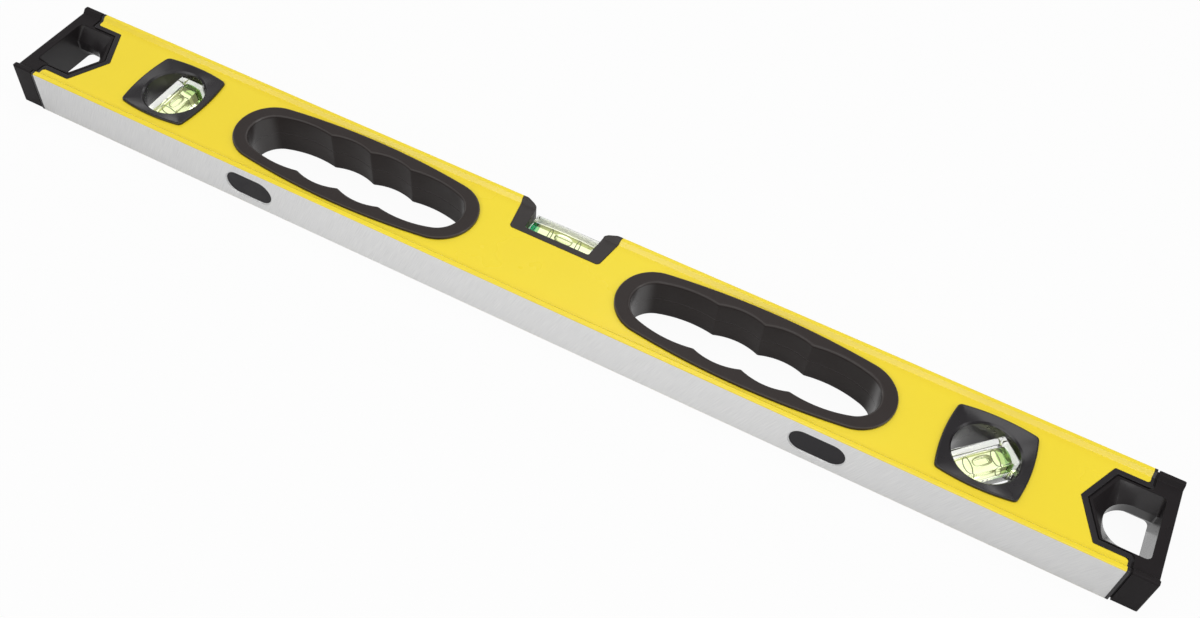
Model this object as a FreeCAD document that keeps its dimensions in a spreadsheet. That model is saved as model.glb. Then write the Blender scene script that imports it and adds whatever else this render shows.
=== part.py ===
# Magnetic spirit level, 600 mm, lying on its back broad face.
# X runs along the level, Y from the milled base edge to the top edge, Z from the back face to the front.
import FreeCAD, Part
import math
import os

os.makedirs("parts", exist_ok=True)
doc = FreeCAD.newDocument("spirit_level")
Vector = FreeCAD.Vector

# Driving dimensions in millimetres
SIZES = {
    "overall_length": 600.0,
    "beam_height": 56.8,
    "beam_thickness": 24.8,
    "face_recess": 2.0,
    "crest_width": 2.4,
    "slope_width": 1.8,
    "beam_edge_radius": 0.8,
    "face_wall": 1.6,
    "top_wall": 2.4,
    "base_wall": 3.4,
    "hollow_radius": 1.0,
    "fit_gap": 0.15,
    "bumper_length": 11.4,
    "groove_width": 1.0,
    "groove_depth": 0.8,
    "flange_thickness": 1.4,
    "cutout_depth": 25.4,
    "cutout_tip_run": 10.2,
    "cutout_half_height": 20.8,
    "cutout_radius": 0.8,
    "arm_radius": 1.6,
    "rim_width": 2.6,
    "rim_proud": 0.25,
    "plug_reach": 5.0,
    "bumper_base_setback": 0.4,
    "bumper_edge_radius": 1.0,
    "bumper_nose": 0.5,
    "bumper_nose_inset": 0.3,
    "funnel_side_lip": 0.4,
    "funnel_edge": 1.2,
    "throat_setback": 7.5,
    "end_bar_width": 5.3,
    "throat_radius": 11.5,
    "throat_depth": 5.5,
    "throat_corner_radius": 0.8,
    "mouth_corner_radius": 2.6,
    "thumb_notch_width": 9.2,
    "thumb_notch_reach": 3.0,
    "thumb_notch_depth": 0.3,
    "grip_length": 138.0,
    "grip_height": 46.0,
    "grip_end_radius": 19.4,
    "grip_end_band": 7.7,
    "grip_flange_thickness": 1.6,
    "grip_flange_overlap": 2.6,
    "grip_seam_gap": 0.1,
    "grip_outer_rounding": 0.9,
    "grip_lip_rounding": 1.3,
    "finger_pitch": 24.0,
    "finger_radius": 30.0,
    "finger_height": 33.2,
    "end_finger_height": 30.8,
    "end_finger_inset": 26.8,
    "finger_ridge_radius": 1.6,
    "opening_end_radius": 13.1,
    "window_end_place": 81.0,
    "window_side_radius": 91.0,
    "window_corner_radius": 2.5,
    "window_proud": 1.3,
    "window_opening_radius": 15.4,
    "window_ring_width": 0.9,
    "window_dish_inset": 0.8,
    "window_dish_depth": 1.3,
    "window_lip_depth": 0.9,
    "window_boss_wall": 2.3,
    "window_flange_overlap": 1.7,
    "window_outer_rounding": 0.6,
    "block_width": 14.4,
    "block_thickness": 14.6,
    "block_bevel": 0.7,
    "block_corner_hold": 0.61,
    "centre_block_length": 34.6,
    "centre_bore_lift": 1.4,
    "block_end_wall": 2.0,
    "plug_thickness": 2.0,
    "bore_radius": 4.6,
    "ring_width": 0.45,
    "ring_thickness": 0.25,
    "window_ring_spacing": 13.5,
    "centre_ring_spacing": 15.0,
    "bubble_length": 9.7,
    "bubble_radius": 2.8,
    "bubble_wall": 0.03,
    "bubble_gap": 0.2,
    "bubble_travel": 5.0,
    "film_gap": 0.02,
    "holder_side_wall": 6.8,
    "holder_depth": 20.2,
    "holder_corner_radius": 2.0,
    "holder_proud": 0.3,
    "holder_lip": 3.0,
    "holder_floor": 1.9,
    "holder_mouth_run": 1.2,
    "holder_shoulder_run": 7.0,
    "holder_crown_width": 1.8,
    "holder_shoulder_drop": 3.3,
    "holder_mouth_corner": 1.0,
    "holder_block_gap": 0.1,
    "magnet_end_place": 147.5,
    "magnet_length": 26.4,
    "magnet_width": 13.2,
    "magnet_recess": 0.4,
    "magnet_rim": 0.5,
    "keeper_end_margin": 3.0,
    "keeper_side_margin": 1.0,
    "keeper_thickness": 1.6,
}

sheet = doc.addObject("Spreadsheet::Sheet", "Sizes")
for row, (alias, value) in enumerate(SIZES.items(), start=1):
    sheet.set("A%d" % row, alias)
    sheet.set("B%d" % row, str(value))
    sheet.setAlias("B%d" % row, alias)
doc.recompute()


def size(alias):
    """Reads one driving dimension back from the sheet."""
    return float(sheet.get(alias))


# Places that several pieces share
half_length = size("overall_length") / 2
beam_end = half_length - size("bumper_length") - size("groove_width") - size("flange_thickness")
sleeve_end = beam_end + size("flange_thickness")
block_start = sleeve_end + size("groove_width")
half_height = size("beam_height") / 2
thickness = size("beam_thickness")
mid = thickness / 2
face_front = thickness - size("face_recess")
face_half = face_front - mid
hollow_half = face_half - size("face_wall")
hollow_low = -half_height + size("base_wall")
hollow_high = half_height - size("top_wall")
gap = size("fit_gap")
past = thickness

# Centre vial and its holder, from the block outwards
centre_well_half = size("centre_block_length") / 2 + size("holder_block_gap")
holder_low_half = centre_well_half + size("holder_side_wall")
holder_mouth_half = centre_well_half + size("holder_mouth_run")
holder_shoulder_half = holder_mouth_half + size("holder_shoulder_run")
holder_top_half = holder_shoulder_half + size("holder_crown_width")

# Windows, from the round opening outwards. The block's corners reach into the frame, which holds it.
window_place = half_length - size("window_end_place")
window_ring_radius = size("window_opening_radius") + size("window_ring_width")
window_boss_radius = window_ring_radius + size("window_boss_wall")
window_half = window_boss_radius + size("window_flange_overlap")
block_corner = size("window_opening_radius") + size("block_corner_hold")
window_block_length = 2 * math.sqrt(block_corner ** 2 - (size("block_width") / 2) ** 2)

# Each grip lies between the centre vial and a window, nearer to the centre by the share below
GRIP_SHARE = 0.35
grip_room = window_place - window_half - holder_top_half - size("grip_length")
grip_place = holder_top_half + grip_room * GRIP_SHARE + size("grip_length") / 2
opening_half = size("grip_length") / 2 - size("grip_end_band")
finger_half = size("finger_height") / 2

magnet_place = half_length - size("magnet_end_place")

# The slanted side of an end cap's funnel runs down to this turn of the round throat
THROAT_SHOULDER_TURN = math.radians(50)


# Outlines, each a list of lines and arcs in the plane of its sketch
def rounded_outline(corners):
    """Straight edges through corners (x, y, radius), with an arc at each corner that has a radius."""
    count = len(corners)
    ends = []
    for i, (x, y, radius) in enumerate(corners):
        here = Vector(x, y, 0)
        back = (Vector(corners[i - 1][0], corners[i - 1][1], 0) - here).normalize()
        ahead_corner = corners[(i + 1) % count]
        ahead = (Vector(ahead_corner[0], ahead_corner[1], 0) - here).normalize()
        if radius == 0:
            ends.append((here, None, here))
            continue
        half_angle = back.getAngle(ahead) / 2
        reach = radius / math.tan(half_angle)
        inward = (back + ahead).normalize()
        middle = here + inward * (radius / math.sin(half_angle) - radius)
        ends.append((here + back * reach, middle, here + ahead * reach))
    pieces = []
    for i, (start, middle, end) in enumerate(ends):
        if middle is not None:
            pieces.append(Part.Arc(start, middle, end))
        following = ends[(i + 1) % count][0]
        if (following - end).Length > 1e-6:
            pieces.append(Part.LineSegment(end, following))
    return pieces


def arc_on(centre, radius, start, end):
    """The short arc about a centre from one point to another."""
    towards = (start + end) * 0.5 - centre
    return Part.Arc(start, centre + towards.normalize() * radius, end)


def beside(centre_a, centre_b, distance_a):
    """The point at a distance from centre_a on the line through centre_b."""
    return centre_a + (centre_b - centre_a).normalize() * distance_a


def section_outline(low, high, recess, inset, radius):
    """Cross-section in (y, z): a face recessed between raised edges, on the front and the back."""
    crest = size("crest_width")
    slope = size("slope_width")
    floor = recess + inset
    back = inset
    front = thickness - inset
    top = thickness - floor
    return rounded_outline([
        (low + inset, back, radius),
        (low + crest, back, 0),
        (low + crest + slope, floor, 0),
        (high - crest - slope, floor, 0),
        (high - crest, back, 0),
        (high - inset, back, radius),
        (high - inset, front, radius),
        (high - crest, front, 0),
        (high - crest - slope, top, 0),
        (low + crest + slope, top, 0),
        (low + crest, front, 0),
        (low + inset, front, radius),
    ])


def cutout_outline(side, inset, end, radius):
    """Five-sided cut-out at one end, its tip towards the middle of the level, in (x, y)."""
    slant = math.atan2(size("cutout_tip_run"), size("cutout_half_height"))
    tip = beam_end - size("cutout_depth") + inset / math.cos(slant)
    height = size("cutout_half_height") - inset
    corner = tip + height * math.tan(slant)
    corners = [
        (side * end, height, 0),
        (side * corner, height, radius),
        (side * tip, 0, radius),
        (side * corner, -height, radius),
        (side * end, -height, 0),
    ]
    return rounded_outline(corners)


def arm_outline(side, inset, end, arm_radius, outside):
    """The cut-out at one end, with the corners rounded where it opens at the end plane, on to outside."""
    slant = math.atan2(size("cutout_tip_run"), size("cutout_half_height"))
    tip = beam_end - size("cutout_depth") + inset / math.cos(slant)
    height = size("cutout_half_height") - inset
    corner = tip + height * math.tan(slant)
    radius = size("cutout_radius")
    flare = height + 2 * arm_radius
    return rounded_outline([
        (side * outside, flare, 0),
        (side * end, flare, 0),
        (side * end, height, arm_radius),
        (side * corner, height, radius),
        (side * tip, 0, radius),
        (side * corner, -height, radius),
        (side * end, -height, arm_radius),
        (side * end, -flare, 0),
        (side * outside, -flare, 0),
    ])


def oval_outline(centre_x, inset):
    """Outer outline of a grip: two round ends joined by long shallow arcs."""
    end_radius = size("grip_end_radius") - inset
    offset = size("grip_length") / 2 - size("grip_end_radius")
    height = size("grip_height") / 2 - inset
    side_radius = (offset ** 2 + height ** 2 - end_radius ** 2) / (2 * (height - end_radius))
    pieces = []
    touch = {}
    for sx in (-1, 1):
        for sy in (-1, 1):
            end_centre = Vector(centre_x + sx * offset, 0, 0)
            side_centre = Vector(centre_x, sy * (height - side_radius), 0)
            touch[sx, sy] = beside(side_centre, end_centre, side_radius)
    for sx in (-1, 1):
        tip = Vector(centre_x + sx * (offset + end_radius), 0, 0)
        pieces.append(Part.Arc(touch[sx, -1], tip, touch[sx, 1]))
    for sy in (-1, 1):
        crown = Vector(centre_x, sy * height, 0)
        pieces.append(Part.Arc(touch[-1, sy], crown, touch[1, sy]))
    return pieces


def finger_outline(centre_x):
    """Inner outline of a grip: four finger hollows along each side, with rounded ridges between them."""
    ridge = size("finger_ridge_radius")
    end_radius = size("opening_end_radius")
    end_place = opening_half - end_radius
    end_centre = Vector(end_place, 0, 0)
    inner_radius = size("finger_radius")
    inner_centre = Vector(size("finger_pitch") / 2, finger_half - inner_radius, 0)
    place = opening_half - size("end_finger_inset")
    crown = size("end_finger_height") / 2
    outer_radius = ((end_place - place) ** 2 + crown ** 2 - end_radius ** 2) / (2 * (crown - end_radius))
    outer_centre = Vector(place, crown - outer_radius, 0)

    middle_ridge = Vector(0, inner_centre.y + math.sqrt((inner_radius + ridge) ** 2 - inner_centre.x ** 2), 0)
    span = (outer_centre - inner_centre).Length
    near = inner_radius + ridge
    far = outer_radius + ridge
    along = (near ** 2 - far ** 2 + span ** 2) / (2 * span)
    across = math.sqrt(near ** 2 - along ** 2)
    way = (outer_centre - inner_centre).normalize()
    side_ridge = inner_centre + way * along + Vector(-way.y, way.x, 0) * across

    ridge_start = beside(inner_centre, middle_ridge, inner_radius)
    hollow_end = beside(inner_centre, side_ridge, inner_radius)
    outer_start = beside(outer_centre, side_ridge, outer_radius)
    end_start = beside(outer_centre, end_centre, outer_radius)
    quarter = [
        (middle_ridge, ridge, Vector(0, middle_ridge.y - ridge, 0), ridge_start),
        (inner_centre, inner_radius, ridge_start, hollow_end),
        (side_ridge, ridge, hollow_end, outer_start),
        (outer_centre, outer_radius, outer_start, end_start),
        (end_centre, end_radius, end_start, Vector(end_place + end_radius, 0, 0)),
    ]
    pieces = []
    for sx in (-1, 1):
        for sy in (-1, 1):
            for centre, radius, start, end in quarter:
                placed = [Vector(centre_x + sx * p.x, sy * p.y, 0) for p in (centre, start, end)]
                pieces.append(arc_on(placed[0], radius, placed[1], placed[2]))
    return pieces


def window_outline(centre_x, inset):
    """Outline of a window frame: a square with bowed sides and rounded corners."""
    bow = size("window_side_radius") - inset
    corner = size("window_corner_radius") - inset
    away = size("window_side_radius") - window_half
    place = (-away + math.sqrt(2 * (bow - corner) ** 2 - away ** 2)) / 2
    pieces = []
    for turn in range(4):
        spin = FreeCAD.Rotation(Vector(0, 0, 1), 90 * turn)
        shift = Vector(centre_x, 0, 0)
        side_centre = Vector(0, -away, 0)
        right_corner = Vector(place, place, 0)
        left_corner = Vector(-place, place, 0)
        below_centre = Vector(-away, 0, 0)
        start = beside(side_centre, left_corner, bow)
        end = beside(side_centre, right_corner, bow)
        round_end = beside(below_centre, right_corner, bow)
        points = [spin.multVec(p) + shift for p in (side_centre, start, end, right_corner, round_end)]
        pieces.append(arc_on(points[0], bow, points[1], points[2]))
        pieces.append(arc_on(points[3], corner, points[2], points[4]))
    return pieces


def ring_outline(centre_x, radius):
    """A circle in eight arcs that lie opposite the arcs of a window's outline, for a loft between them."""
    centre = Vector(centre_x, 0, 0)
    pieces = []
    for arc in window_outline(0, size("window_dish_inset")):
        start = Vector(arc.StartPoint).normalize() * radius
        end = Vector(arc.EndPoint).normalize() * radius
        pieces.append(arc_on(centre, radius, centre + start, centre + end))
    return pieces


def slot_outline(centre_x, centre_y, length, width):
    """A straight slot with round ends."""
    radius = width / 2
    run = length / 2 - radius
    left = centre_x - run
    right = centre_x + run
    return [
        Part.LineSegment(Vector(left, centre_y + radius, 0), Vector(right, centre_y + radius, 0)),
        Part.Arc(Vector(right, centre_y + radius, 0), Vector(right + radius, centre_y, 0),
                 Vector(right, centre_y - radius, 0)),
        Part.LineSegment(Vector(right, centre_y - radius, 0), Vector(left, centre_y - radius, 0)),
        Part.Arc(Vector(left, centre_y - radius, 0), Vector(left - radius, centre_y, 0),
                 Vector(left, centre_y + radius, 0)),
    ]


def box_outline(x_low, x_high, y_low, y_high, radius):
    """A rectangle with rounded corners."""
    return rounded_outline([
        (x_low, y_low, radius),
        (x_high, y_low, radius),
        (x_high, y_high, radius),
        (x_low, y_high, radius),
    ])


def circle(centre_x, centre_y, radius):
    """A full circle."""
    return [Part.Circle(Vector(centre_x, centre_y, 0), Vector(0, 0, 1), radius)]


# Bodies, sketches and features
sub_parts = []


def new_body(label):
    """Starts one sub-part."""
    body = doc.addObject("PartDesign::Body", label)
    body.Label = label
    sub_parts.append(body)
    return body


def sketch_on(body, role, place, pieces):
    """A sketch on one of the body's own origin planes, moved along the plane's normal."""
    name = "%s_outline_%d" % (body.Label, len(body.Group))
    sketch = body.newObject("Sketcher::SketchObject", name)
    plane = [feature for feature in body.Origin.OriginFeatures if feature.Role == role][0]
    sketch.AttachmentSupport = [(plane, "")]
    sketch.MapMode = "FlatFace"
    sketch.AttachmentOffset = FreeCAD.Placement(Vector(0, 0, place), FreeCAD.Rotation())
    for piece in pieces:
        sketch.addGeometry(piece, False)
    return sketch


def pad(body, sketch, length, reverse=False):
    """Adds material from a sketch, with its length bound to the sheet or given as a number."""
    feature = body.newObject("PartDesign::Pad", "%s_pad_%d" % (body.Label, len(body.Group)))
    feature.Profile = sketch
    feature.Reversed = reverse
    set_length(feature, length)
    sketch.Visibility = False
    return feature


def pocket(body, sketch, length, reverse=False):
    """Cuts a sketch away. A pocket runs against the sketch plane's normal unless it is reversed."""
    doc.recompute()
    before = body.Shape.Volume
    feature = body.newObject("PartDesign::Pocket", "%s_pocket_%d" % (body.Label, len(body.Group)))
    feature.Profile = sketch
    feature.Reversed = reverse
    set_length(feature, length)
    doc.recompute()
    if body.Shape.Volume > before - 1e-6:
        raise RuntimeError("%s cut nothing" % feature.Label)
    sketch.Visibility = False
    return feature


def set_length(feature, length):
    """A text length is an expression on the sheet, and a number is used as it is."""
    if isinstance(length, str):
        feature.setExpression("Length", length)
    else:
        feature.Length = length


def cut_between(body, role, wide, wide_place, narrow, narrow_place):
    """Cuts away what lies between two outlines at two heights above the XY plane."""
    doc.recompute()
    before = body.Shape.Volume
    start = sketch_on(body, "XY_Plane", wide_place, wide)
    end = sketch_on(body, "XY_Plane", narrow_place, narrow)
    feature = body.newObject("PartDesign::SubtractiveLoft", "%s_%s" % (body.Label, role))
    feature.Profile = start
    feature.Sections = [end]
    feature.Ruled = True
    doc.recompute()
    if body.Shape.Volume > before - 1e-6:
        raise RuntimeError("%s cut nothing" % feature.Label)


def round_edges(body, wanted, radius, kind="PartDesign::Fillet"):
    """Rounds or bevels the edges of the body's last feature for which wanted(edge) is true."""
    doc.recompute()
    base = body.Tip
    names = ["Edge%d" % (i + 1) for i, edge in enumerate(base.Shape.Edges) if wanted(edge)]
    if not names:
        raise RuntimeError("no edge of %s to round" % body.Label)
    feature = body.newObject(kind, "%s_edges_%d" % (body.Label, len(body.Group)))
    feature.Base = (base, names)
    prop = "Radius" if kind == "PartDesign::Fillet" else "Size"
    if isinstance(radius, str):
        feature.setExpression(prop, radius)
    else:
        setattr(feature, prop, radius)
    return feature


def lies_at(edge, axis, value):
    """True for an edge that lies in the plane where one coordinate has this value."""
    box = edge.BoundBox
    low, high = ((box.XMin, box.XMax), (box.YMin, box.YMax), (box.ZMin, box.ZMax))[axis]
    return abs(low - value) < 1e-4 and abs(high - value) < 1e-4


def build_beam():
    """Painted box-section beam with raised edges, a milled base and its openings."""
    body = new_body("beam")
    section = section_outline(-half_height, half_height, size("face_recess"), 0, size("beam_edge_radius"))
    hollow = box_outline(hollow_low, hollow_high, mid - hollow_half, mid + hollow_half, size("hollow_radius"))
    pad(body, sketch_on(body, "YZ_Plane", -beam_end, section + hollow), 2 * beam_end)
    openings = []
    for side in (-1, 1):
        openings += arm_outline(side, 0, beam_end, size("arm_radius"), beam_end + past)
        openings += oval_outline(side * grip_place, size("grip_flange_overlap"))
        openings += circle(side * window_place, 0, window_boss_radius)
    openings += holder_outline(gap)
    pocket(body, sketch_on(body, "XY_Plane", thickness, openings), "Sizes.beam_thickness")
    slots = []
    rims = []
    for side in (-1, 1):
        centre = side * magnet_place
        length = size("magnet_length") + 2 * gap
        width = size("magnet_width") + 2 * gap
        rim = 2 * size("magnet_rim")
        slots += slot_outline(centre, mid, length, width)
        rims += slot_outline(centre, mid, length + rim, width + rim)
    pocket(body, sketch_on(body, "XZ_Plane", half_height, slots), "Sizes.base_wall")
    pocket(body, sketch_on(body, "XZ_Plane", half_height, rims), "Sizes.magnet_recess")


def holder_outline(clearance):
    """Outer outline of the centre vial's holder: a notch in the top edge that narrows downwards."""
    bottom = half_height - size("holder_depth") - clearance
    low = holder_low_half + clearance
    high = holder_top_half + clearance
    above = half_height + past
    spread = (high - low) * (above - bottom) / (half_height - bottom)
    radius = size("holder_corner_radius") + clearance
    return rounded_outline([
        (-low, bottom, radius),
        (low, bottom, radius),
        (low + spread, above, 0),
        (-low - spread, above, 0),
    ])


def build_sleeve(side, label):
    """Hard plug in one end of the beam: a rim that lines the cut-out and a flange over the beam's end."""
    body = new_body(label)
    start = beam_end - size("cutout_depth") - size("plug_reach")
    plug = box_outline(hollow_low + gap, hollow_high - gap, mid - hollow_half + gap, mid + hollow_half - gap,
                       size("hollow_radius"))
    section = section_outline(-half_height, half_height, size("face_recess"), 0, size("beam_edge_radius"))
    low_x = start if side > 0 else -beam_end
    pad(body, sketch_on(body, "YZ_Plane", low_x, plug), beam_end - start)
    flange_x = beam_end if side > 0 else -beam_end - size("flange_thickness")
    pad(body, sketch_on(body, "YZ_Plane", flange_x, section), "Sizes.flange_thickness")
    rim_half = face_half + size("rim_proud")
    rim = cutout_outline(side, gap, beam_end + size("flange_thickness") / 2, size("cutout_radius"))
    pad(body, sketch_on(body, "XY_Plane", mid - rim_half, rim), 2 * rim_half)
    inside = arm_outline(side, size("rim_width"), sleeve_end, size("flange_thickness"), half_length)
    pocket(body, sketch_on(body, "XY_Plane", thickness, inside), "Sizes.beam_thickness")


def build_bumper(side, label):
    """Soft end bumper: an end block, a plug in the sleeve and a hole that funnels to a D-shaped throat."""
    body = new_body(label)
    low = -half_height + size("bumper_base_setback")
    recess = size("face_recess")
    depth = size("groove_depth")
    radius = size("bumper_edge_radius")
    neck = section_outline(low, half_height, recess, depth, radius / 2)
    full = section_outline(low, half_height, recess, 0, radius)
    nose = section_outline(low, half_height, recess, size("bumper_nose_inset"), radius / 2)
    nose_start = half_length - size("bumper_nose")
    neck_x = sleeve_end if side > 0 else -block_start
    pad(body, sketch_on(body, "YZ_Plane", neck_x, neck), "Sizes.groove_width")
    block_x = block_start if side > 0 else -nose_start
    pad(body, sketch_on(body, "YZ_Plane", block_x, full), nose_start - block_start)
    front = sketch_on(body, "YZ_Plane", side * nose_start, full)
    tip = sketch_on(body, "YZ_Plane", side * half_length, nose)
    loft = body.newObject("PartDesign::AdditiveLoft", "%s_nose" % label)
    loft.Profile = front
    loft.Sections = [tip]
    loft.Ruled = True
    plug = arm_outline(side, size("rim_width"), sleeve_end, size("flange_thickness"), block_start)
    pad(body, sketch_on(body, "XY_Plane", mid - face_half + depth, plug), 2 * (face_half - depth))
    groove_turn = size("flange_thickness") + (size("groove_width") + depth) / 2
    raised = arm_outline(side, size("rim_width") + depth, block_start, groove_turn, nose_start)
    pad(body, sketch_on(body, "XY_Plane", mid - face_half, raised), 2 * face_half)

    throat, mouth = funnel_outlines(side)
    throat_half = size("throat_depth") / 2
    pocket(body, sketch_on(body, "XY_Plane", thickness, throat), "Sizes.beam_thickness")
    for name, way in (("back", -1), ("front", 1)):
        cut_between(body, "%s_funnel" % name, mouth, mid + way * face_half, throat, mid + way * throat_half)
    notch = notch_outline(side)
    pocket(body, sketch_on(body, "XY_Plane", mid + face_half, notch), "Sizes.thumb_notch_depth")
    pocket(body, sketch_on(body, "XY_Plane", mid - face_half, notch), "Sizes.thumb_notch_depth", reverse=True)


def funnel_outlines(side):
    """The throat and the mouth of an end cap's hole, with matching corners so that a loft stays straight."""
    bar = half_length - size("end_bar_width")
    radius = size("throat_radius")
    slant = math.atan2(size("cutout_tip_run"), size("cutout_half_height"))
    inset = size("rim_width") + size("groove_depth") + size("funnel_edge")
    tip = beam_end - size("cutout_depth") + inset / math.cos(slant)
    height = size("cutout_half_height") - size("rim_width") - size("groove_depth") - size("funnel_side_lip")
    corner = tip + height * math.tan(slant)
    throat_left = tip + size("throat_setback")
    centre = throat_left + radius
    turn = THROAT_SHOULDER_TURN
    shoulder = Vector(centre - radius * math.cos(turn), radius * math.sin(turn), 0)
    half_turn = turn / 2
    upper_turn = math.radians(90) - (math.radians(90) - turn) / 2

    def at(x, y):
        return Vector(side * x, y, 0)

    def on_arc(angle, up):
        return at(centre - radius * math.cos(angle), up * radius * math.sin(angle))

    def bar_side(half_width, corner_radius):
        """From the centre line of the throat round both corners at the end bar and back."""
        run = bar - corner_radius
        rise = half_width - corner_radius
        crown = corner_radius * math.sqrt(0.5)
        return [
            Part.LineSegment(at(centre, half_width), at(run, half_width)),
            Part.Arc(at(run, half_width), at(run + crown, rise + crown), at(bar, rise)),
            Part.LineSegment(at(bar, rise), at(bar, -rise)),
            Part.Arc(at(bar, -rise), at(run + crown, -rise - crown), at(run, -half_width)),
            Part.LineSegment(at(run, -half_width), at(centre, -half_width)),
        ]

    throat = [
        Part.Arc(at(throat_left, 0), on_arc(half_turn, 1), at(shoulder.x, shoulder.y)),
        Part.Arc(at(shoulder.x, shoulder.y), on_arc(upper_turn, 1), at(centre, radius)),
    ] + bar_side(radius, size("throat_corner_radius")) + [
        Part.Arc(at(centre, -radius), on_arc(upper_turn, -1), at(shoulder.x, -shoulder.y)),
        Part.Arc(at(shoulder.x, -shoulder.y), on_arc(half_turn, -1), at(throat_left, 0)),
    ]
    mouth = [
        Part.LineSegment(at(tip, 0), at(corner, height)),
        Part.LineSegment(at(corner, height), at(centre, height)),
    ] + bar_side(height, size("mouth_corner_radius")) + [
        Part.LineSegment(at(centre, -height), at(corner, -height)),
        Part.LineSegment(at(corner, -height), at(tip, 0)),
    ]
    return throat, mouth


def notch_outline(side):
    """Half-oval thumb notch at the outer edge of an end bar."""
    half_width = size("thumb_notch_width") / 2
    reach = size("thumb_notch_reach")
    outside = half_length + past
    top = Vector(side * half_length, half_width, 0)
    deep = Vector(side * (half_length - reach), 0, 0)
    bottom = Vector(side * half_length, -half_width, 0)
    return [
        Part.Arc(top, deep, bottom),
        Part.LineSegment(bottom, Vector(side * outside, -half_width, 0)),
        Part.LineSegment(Vector(side * outside, -half_width, 0), Vector(side * outside, half_width, 0)),
        Part.LineSegment(Vector(side * outside, half_width, 0), top),
    ]


def build_grip_half(side, way, label):
    """Half of a hand grip: a flange on the beam's face, a boss through the beam and the finger opening."""
    body = new_body(label)
    centre = side * grip_place
    seam = size("grip_seam_gap") / 2
    boss = oval_outline(centre, size("grip_flange_overlap") + gap)
    flange = oval_outline(centre, 0)
    reverse = way < 0
    top = mid + way * (face_half + size("grip_flange_thickness"))
    pad(body, sketch_on(body, "XY_Plane", mid + way * seam, boss), face_half - seam, reverse)
    flange_sketch = sketch_on(body, "XY_Plane", mid + way * face_half, flange)
    pad(body, flange_sketch, "Sizes.grip_flange_thickness", reverse)
    fingers = finger_outline(centre)
    cut_from = sketch_on(body, "XY_Plane", top, fingers)
    pocket(body, cut_from, "Sizes.beam_thickness", reverse=way < 0)
    band_middle = opening_half + size("grip_end_band") / 2
    side_middle = (size("finger_height") + size("grip_height")) / 4

    def is_lip(edge):
        box = edge.BoundBox
        inside_x = centre - band_middle < box.XMin and box.XMax < centre + band_middle
        inside_y = -side_middle < box.YMin and box.YMax < side_middle
        return lies_at(edge, 2, top) and inside_x and inside_y

    def is_outer(edge):
        return lies_at(edge, 2, top) and not is_lip(edge)

    round_edges(body, is_lip, "Sizes.grip_lip_rounding")
    round_edges(body, is_outer, "Sizes.grip_outer_rounding")


def build_window_half(side, way, label, turn):
    """Half of a vial window: a square flange dished to a round opening, on a boss that holds the vial."""
    body = new_body(label)
    centre = side * window_place
    proud = size("window_proud")
    reverse = way < 0
    top = mid + way * (face_half + proud)
    boss = circle(centre, 0, window_boss_radius - gap)
    pad(body, sketch_on(body, "XY_Plane", mid, boss), face_half, reverse)
    frame = sketch_on(body, "XY_Plane", mid + way * face_half, window_outline(centre, 0))
    pad(body, frame, "Sizes.window_proud", reverse)
    round_edges(body, lambda edge: lies_at(edge, 2, top), "Sizes.window_outer_rounding")
    opening = circle(centre, 0, size("window_opening_radius"))
    pocket(body, sketch_on(body, "XY_Plane", top, opening), "Sizes.beam_thickness", reverse)
    low = top - way * size("window_dish_depth")
    lip = low - way * size("window_lip_depth")
    square = window_outline(centre, size("window_dish_inset"))
    cut_between(body, "dish", square, top, ring_outline(centre, window_ring_radius), low)
    cut_between(body, "lip", circle(centre, 0, window_ring_radius), low,
                circle(centre, 0, size("window_opening_radius")), lip)
    clear = size("holder_block_gap")
    half_block = window_block_length / 2 + clear
    half_width = size("block_width") / 2 + clear
    spin = FreeCAD.Rotation(Vector(0, 0, 1), turn)
    corners = []
    for x, y in ((-half_block, -half_width), (half_block, -half_width), (half_block, half_width),
                 (-half_block, half_width)):
        point = spin.multVec(Vector(x, y, 0))
        corners.append((centre + point.x, point.y, 0))
    block_front = size("block_thickness") / 2 + clear
    seat = sketch_on(body, "XY_Plane", mid, rounded_outline(corners))
    pocket(body, seat, block_front, reverse=way > 0)


def place_vial(kind, lift):
    """Where a vial sits: the middle of its bore and the turn of its axis about Z."""
    if kind == "centre":
        floor = half_height - size("holder_depth") + size("holder_floor")
        height = floor + size("block_width") / 2 + lift
        return FreeCAD.Placement(Vector(0, height, mid), FreeCAD.Rotation())
    side, turn = WINDOWS[kind]
    spin = FreeCAD.Rotation(Vector(0, 0, 1), turn)
    return FreeCAD.Placement(Vector(side * window_place, 0, mid), spin)


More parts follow.
